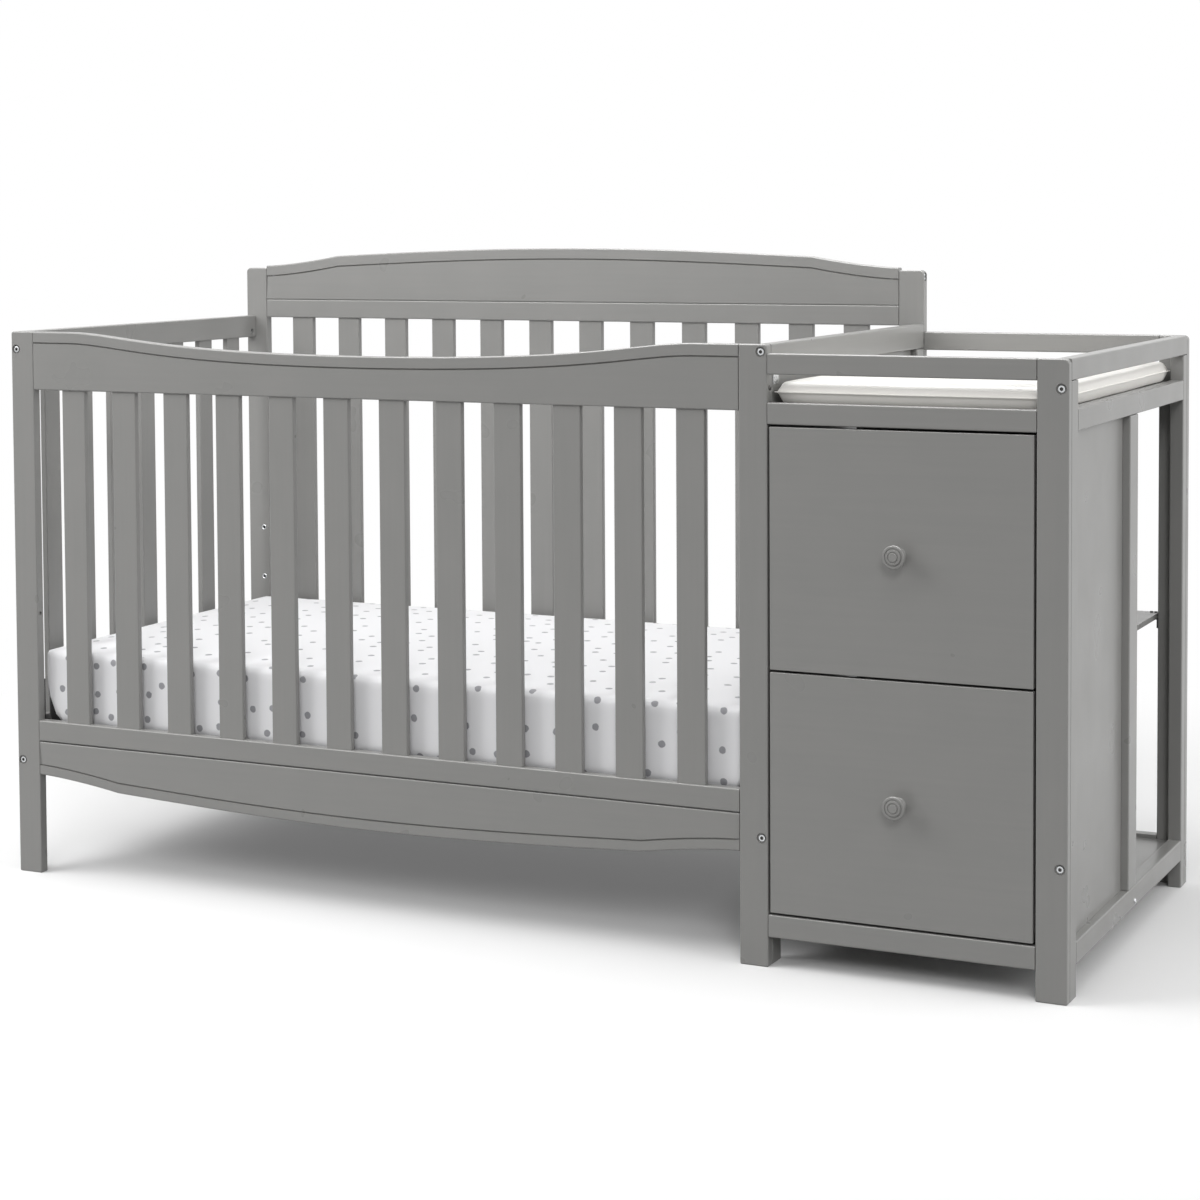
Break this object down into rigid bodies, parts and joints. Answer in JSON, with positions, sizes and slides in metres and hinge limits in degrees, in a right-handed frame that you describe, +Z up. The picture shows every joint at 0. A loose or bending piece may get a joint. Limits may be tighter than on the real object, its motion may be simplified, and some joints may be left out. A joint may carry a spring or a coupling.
{
  "type": "crib with attached changer",
  "caption": "Full-size crib with curved headboard and slatted sides, joined to a changing table with a railed pad tray, front drawers and an open rear bay",
  "frame": {"origin": "on the floor, at the middle of the bounding box in X and Y", "axes": "+X along the length from the crib to the changer, +Y from the front to the back, +Z up"},
  "size_m": [1.819, 0.775, 1.052],
  "materials": {
    "painted_wood": "warm grey satin paint on solid wood and board",
    "drawer_wood": "clear lacquered pale plywood",
    "bolt_steel": "zinc plated steel",
    "runner_steel": "cream powder coated sheet steel",
    "dark_steel": "dark powder coated steel",
    "roller_plastic": "pale nylon",
    "mattress_cover": "dark woven cover",
    "dotted_cotton": "white woven cotton with small grey dots",
    "pad_vinyl": "soft white vinyl over foam"
  },
  "bodies": {
    "frame": {"front_left_leg": "painted_wood", "centre_leg": "painted_wood", "front_top_rail": "painted_wood", "front_bottom_rail": "painted_wood", "front_apron": "painted_wood", "front_slats": "painted_wood", "back_left_post": "painted_wood", "back_right_post": "painted_wood", "headboard_panel": "painted_wood", "headboard_rail": "painted_wood", "back_bottom_rail": "painted_wood", "back_slats": "painted_wood", "left_end_top_rail": "painted_wood", "left_end_bottom_rail": "painted_wood", "left_end_slats": "painted_wood", "right_end_stiles": "painted_wood", "right_end_rails": "painted_wood", "right_end_panel": "painted_wood", "support_frame": "dark_steel", "support_wires": "dark_steel", "support_brackets": "dark_steel", "support_bolts": "bolt_steel", "mattress": "mattress_cover", "fitted_sheet": "dotted_cotton", "changer_front_stile": "painted_wood", "changer_front_guard": "painted_wood", "changer_front_tray_rail": "painted_wood", "changer_front_base_rail": "painted_wood", "side_stiles": "painted_wood", "side_guard": "painted_wood", "side_tray_rail": "painted_wood", "side_base_rail": "painted_wood", "side_panel": "painted_wood", "changer_rear_stile": "painted_wood", "changer_rear_rails": "painted_wood", "cabinet_back": "painted_wood", "changer_floor": "painted_wood", "changer_tray": "painted_wood", "rear_shelf": "painted_wood", "shelf_brackets": "dark_steel", "runner_cleats": "painted_wood", "cabinet_runners": "runner_steel", "changing_pad": "pad_vinyl", "frame_bolts": "bolt_steel", "barrel_nuts": "bolt_steel"},
    "upper_drawer": {"upper_drawer_front": "painted_wood", "upper_drawer_box": "drawer_wood", "upper_drawer_bottom": "drawer_wood", "upper_knob": "painted_wood", "upper_drawer_runners": "runner_steel"},
    "lower_drawer": {"lower_drawer_front": "painted_wood", "lower_drawer_box": "drawer_wood", "lower_drawer_bottom": "drawer_wood", "lower_knob": "painted_wood", "lower_drawer_runners": "runner_steel"},
    "upper_cabinet_rollers": {"upper_cabinet_rollers": "roller_plastic"},
    "upper_drawer_rollers": {"upper_drawer_rollers": "roller_plastic"},
    "lower_cabinet_rollers": {"lower_cabinet_rollers": "roller_plastic"},
    "lower_drawer_rollers": {"lower_drawer_rollers": "roller_plastic"}
  },
  "joints": [
    {"name": "upper_drawer_slide", "type": "slide", "parent": "frame", "child": "upper_drawer", "axis": [0, -1, 0], "range_m": [0, 0.28]},
    {"name": "upper_cabinet_roller_spin", "type": "hinge", "parent": "frame", "child": "upper_cabinet_rollers", "pos_m": [0.662, -0.3265, 0.46815], "axis": [1, 0, 0], "continuous": true},
    {"name": "upper_drawer_roller_spin", "type": "hinge", "parent": "upper_drawer", "child": "upper_drawer_rollers", "pos_m": [0.662, -0.0105, 0.46815], "axis": [1, 0, 0], "continuous": true},
    {"name": "lower_drawer_slide", "type": "slide", "parent": "frame", "child": "lower_drawer", "axis": [0, -1, 0], "range_m": [0, 0.28]},
    {"name": "lower_cabinet_roller_spin", "type": "hinge", "parent": "frame", "child": "lower_cabinet_rollers", "pos_m": [0.662, -0.3265, 0.1069], "axis": [1, 0, 0], "continuous": true},
    {"name": "lower_drawer_roller_spin", "type": "hinge", "parent": "lower_drawer", "child": "lower_drawer_rollers", "pos_m": [0.662, -0.0105, 0.1069], "axis": [1, 0, 0], "continuous": true}
  ],
  "couplings": [
    {"joint": "upper_cabinet_roller_spin", "follows": "upper_drawer_slide", "rad_per_m": 100},
    {"joint": "upper_drawer_roller_spin", "follows": "upper_drawer_slide", "rad_per_m": 100},
    {"joint": "lower_cabinet_roller_spin", "follows": "lower_drawer_slide", "rad_per_m": 100},
    {"joint": "lower_drawer_roller_spin", "follows": "lower_drawer_slide", "rad_per_m": 100}
  ]
}
